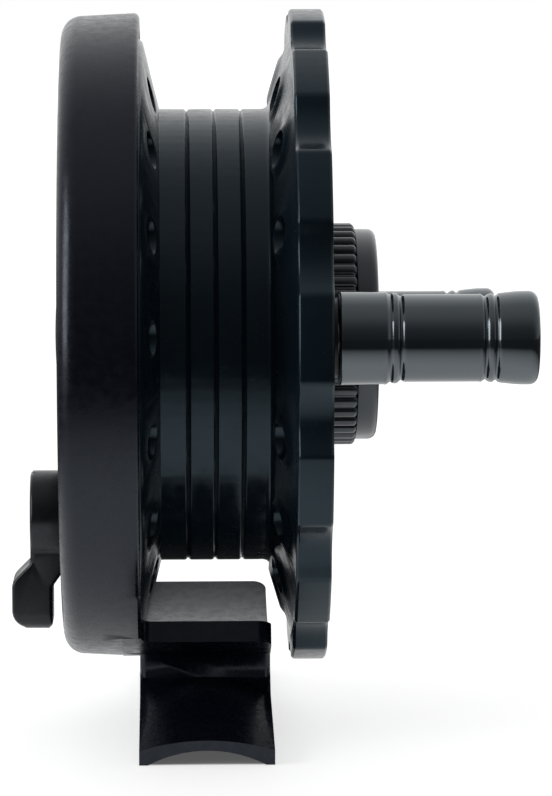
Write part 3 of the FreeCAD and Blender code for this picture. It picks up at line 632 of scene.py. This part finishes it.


# Pale floor: it keeps the shadow, and glows only for the camera and in mirrored light; its colour is a painted
# pool of light round the foot, and its glow is cut to a painted shadow under the foot
def stageFloor(look):
    half = look["width"] / 2
    corners = [(-half, -half, 0), (half, -half, 0), (half, half, 0), (-half, half, 0)]
    mesh = bpy.data.meshes.new("studioFloor")
    mesh.from_pydata(corners, [], [(0, 1, 2, 3)])
    floor = bpy.data.objects.new("studioFloor", mesh)
    floor.location.z = -look["gap"]
    bpy.context.scene.collection.objects.link(floor)
    material, tree, shader = newMaterial("paleFloorWithPaintedLight")
    link = tree.links.new
    shader.inputs["Roughness"].default_value = look["roughness"]
    shader.inputs["Specular IOR Level"].default_value = look["specular"]
    rays = tree.nodes.new("ShaderNodeLightPath")
    coords = tree.nodes.new("ShaderNodeTexCoord")
    parts = tree.nodes.new("ShaderNodeSeparateXYZ")
    link(coords.outputs["Object"], parts.inputs["Vector"])
    sideways = maths(tree, "ABSOLUTE", parts.outputs["X"])
    lengthways = maths(tree, "ABSOLUTE", parts.outputs["Y"])
    beside = maths(tree, "SUBTRACT", sideways, look["footHalfWidth"])
    beyond = maths(tree, "SUBTRACT", lengthways, look["footHalfLength"])
    outside = maths(tree, "MAXIMUM", beside, beyond)
    # clear is 0 under the foot and 1 outside it, with a soft edge: the mask of a painted shadow under the foot's
    # saddle
    clear = spread(tree, outside, 0, 1, -look["paintedFootShadowFade"], 0)
    away = tree.nodes.new("ShaderNodeVectorMath")
    away.operation = "LENGTH"
    link(coords.outputs["Object"], away.inputs[0])
    far = spread(tree, away.outputs["Value"], 0, 1, look["paintedLightPoolFrom"], look["paintedLightPoolTo"])
    # Floor colour is painted light: bright within the pool round the foot, a painted dark shade farther away
    link(toneMix(tree, far, look["near"], look["away"]), shader.inputs["Base Color"])
    mirrored = maths(tree, "MAXIMUM", rays.outputs["Is Glossy Ray"], rays.outputs["Is Transmission Ray"])
    # Painted reflection: the floor glows for glossy rays only within the pool round the foot, and not under the
    # foot
    paintedLightPool = maths(tree, "MULTIPLY", maths(tree, "SUBTRACT", 1.0, far), look["paintedReflectionGlow"])
    openFloor = maths(tree, "MULTIPLY", clear, spread(tree, far, look["glow"], 1.0, 0, 1))
    # Under the foot the camera's glow drops to the tunnel level: a painted shadow seen through the tunnel
    glowWithPaintedTunnelShade = maths(tree, "MAXIMUM", openFloor, look["paintedTunnelShadeGlow"])
    seen = maths(tree, "MULTIPLY", rays.outputs["Is Camera Ray"], glowWithPaintedTunnelShade)
    paintedPoolReflection = maths(tree, "MULTIPLY", mirrored, maths(tree, "MULTIPLY", clear, paintedLightPool))
    shader.inputs["Emission Color"].default_value = (1, 1, 1, 1)
    link(maths(tree, "ADD", seen, paintedPoolReflection), shader.inputs["Emission Strength"])
    floor.data.materials.append(material)


lampLook = {"place": (-0.9, -0.3, 0.3), "target": (0, 0, 0.05), "size": (0.45, 0.7), "power": 3.5}


def softLight(name, look):
    light = bpy.data.lights.new(name, "AREA")
    light.shape = "RECTANGLE"
    light.size, light.size_y = look["size"]
    light.energy = look["power"]
    lamp = bpy.data.objects.new(name, light)
    lamp.location = look["place"]
    lamp.rotation_mode = "QUATERNION"
    facing = Vector(look["target"]) - Vector(look["place"])
    lamp.rotation_quaternion = facing.to_track_quat("-Z", "Y")
    bpy.context.scene.collection.objects.link(lamp)


# Each stop is a place from 0, away from the bright side, to 1, towards it, and the light's level there
roomLook = {"brightSide": (0, 0.966, 0.259),
            "stops": [(0.02, 0.06), (0.147, 0.12), (0.37, 0.32), (0.67, 0.45), (0.85, 0.75), (0.93, 0.95),
                      (0.98, 1.05)]}


# Room light: pale behind and above, dim on the camera's side; the camera itself sees plain white
def roomLight(look):
    world = bpy.data.worlds.new("studioRoom")
    bpy.context.scene.world = world
    world.use_nodes = True
    tree = world.node_tree
    tree.nodes.clear()
    link = tree.links.new
    output = tree.nodes.new("ShaderNodeOutputWorld")
    background = tree.nodes.new("ShaderNodeBackground")
    coords = tree.nodes.new("ShaderNodeTexCoord")
    lean = tree.nodes.new("ShaderNodeVectorMath")
    lean.operation = "DOT_PRODUCT"
    lean.inputs[1].default_value = look["brightSide"]
    link(coords.outputs["Generated"], lean.inputs[0])
    ramp = tree.nodes.new("ShaderNodeValToRGB")
    link(spread(tree, lean.outputs["Value"], 0, 1, -1, 1), ramp.inputs["Fac"])
    stops = ramp.color_ramp.elements
    for at, level in look["stops"]:
        stop = stops.new(at)
        stop.color = (level, level, level, 1)
    stops.remove(stops[0])
    stops.remove(stops[-1])
    rays = tree.nodes.new("ShaderNodeLightPath")
    seen = tree.nodes.new("ShaderNodeMix")
    seen.data_type = "RGBA"
    seen.inputs[7].default_value = (1, 1, 1, 1)  # colour B, for the camera
    link(rays.outputs["Is Camera Ray"], seen.inputs[0])
    link(ramp.outputs["Color"], seen.inputs[6])  # colour A, for all else
    link(seen.outputs[2], background.inputs["Color"])
    link(background.outputs["Background"], output.inputs["Surface"])


stageFloor(stageLook)
roomLight(roomLook)
softLight("leftSoftbox", lampLook)
print("stage and light set")


# Camera: place in mm from the spool's axis, angles in degrees, focal length in pixels of the photo

cameraLook = {"place": (-4.22, -523.0, 47.6), "yaw": 1.443, "pitch": 6.058, "roll": 0.12, "focal": 4258.0,
              "photoLongSide": 796, "sensor": 36, "clip": (0.05, 20)}


def setCamera(look):
    data = bpy.data.cameras.new("photoCamera")
    data.sensor_fit = "AUTO"
    data.sensor_width = look["sensor"]
    data.lens = look["focal"] * data.sensor_width / look["photoLongSide"]
    data.clip_start, data.clip_end = look["clip"]
    camera = bpy.data.objects.new("photoCamera", data)
    turn = (Matrix.Rotation(math.radians(-look["yaw"]), 4, "Z")
            @ Matrix.Rotation(math.radians(90 - look["pitch"]), 4, "X")
            @ Matrix.Rotation(math.radians(-look["roll"]), 4, "Z"))
    place = Vector(look["place"]) * mm + Vector((0, 0, axisHeight))
    camera.matrix_world = Matrix.Translation(place) @ turn
    bpy.context.scene.collection.objects.link(camera)
    bpy.context.scene.camera = camera


setCamera(cameraLook)
bpy.context.scene.view_settings.view_transform = "Standard"
print("camera set")
